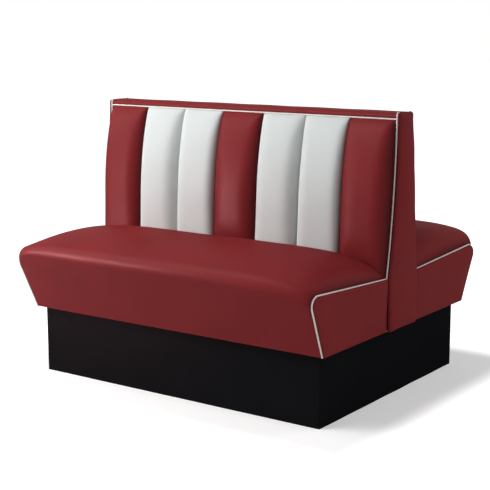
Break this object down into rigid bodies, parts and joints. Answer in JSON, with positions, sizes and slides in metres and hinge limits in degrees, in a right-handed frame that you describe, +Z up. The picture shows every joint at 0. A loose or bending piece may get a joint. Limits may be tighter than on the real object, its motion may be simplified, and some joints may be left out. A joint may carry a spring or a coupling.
{
  "type": "restaurant booth seating",
  "caption": "Double-sided diner booth bench: back-to-back crowned seats on a black plinth, with a shared backrest of red and white padded channels and white piping.",
  "frame": {"origin": "centre of the plinth's footprint, on the floor", "axes": "+X along the booth's length, front seat faces -Y, +Z up"},
  "size_m": [1.218, 1.1606, 0.9465],
  "materials": {
    "red_leatherette": "semi-gloss grained leatherette over padding",
    "white_leatherette": "semi-gloss grained leatherette over padding",
    "piping": "satin off-white piping",
    "black_leatherette": "satin black leatherette",
    "plywood": "raw plywood",
    "timber": "raw sawn timber",
    "foam": "open-cell upholstery foam",
    "bolt_steel": "zinc-plated"
  },
  "bodies": {
    "root": {"front_seat_cover": "red_leatherette", "rear_seat_cover": "red_leatherette", "top_band": "red_leatherette", "back_end_panel_left": "red_leatherette", "back_end_panel_right": "red_leatherette", "front_seat_end_panel_left": "red_leatherette", "front_seat_end_panel_right": "red_leatherette", "rear_seat_end_panel_left": "red_leatherette", "rear_seat_end_panel_right": "red_leatherette", "front_channel_1": "red_leatherette", "front_channel_4": "red_leatherette", "front_channel_7": "red_leatherette", "rear_channel_1": "red_leatherette", "rear_channel_4": "red_leatherette", "rear_channel_7": "red_leatherette", "front_channel_2": "white_leatherette", "front_channel_3": "white_leatherette", "front_channel_5": "white_leatherette", "front_channel_6": "white_leatherette", "rear_channel_2": "white_leatherette", "rear_channel_3": "white_leatherette", "rear_channel_5": "white_leatherette", "rear_channel_6": "white_leatherette", "front_seat_piping_left": "piping", "front_seat_piping_right": "piping", "rear_seat_piping_left": "piping", "rear_seat_piping_right": "piping", "back_piping_left": "piping", "back_piping_right": "piping", "band_piping_front": "piping", "band_piping_rear": "piping", "plinth_front_cover": "black_leatherette", "plinth_rear_cover": "black_leatherette", "plinth_left_cover": "black_leatherette", "plinth_right_cover": "black_leatherette", "front_seat_deck": "plywood", "front_seat_base_board": "plywood", "front_seat_front_board": "plywood", "front_seat_back_board": "plywood", "front_seat_end_boards": "plywood", "rear_seat_deck": "plywood", "rear_seat_base_board": "plywood", "rear_seat_front_board": "plywood", "rear_seat_back_board": "plywood", "rear_seat_end_boards": "plywood", "back_frames": "plywood", "back_board_front": "plywood", "back_board_rear": "plywood", "plinth_front_board": "plywood", "plinth_rear_board": "plywood", "plinth_left_board": "plywood", "plinth_right_board": "plywood", "plinth_corner_blocks": "timber", "plinth_cross_rails": "timber", "back_rails": "timber", "front_seat_foam": "foam", "rear_seat_foam": "foam", "fixing_bolts": "bolt_steel"}
  },
  "joints": []
}
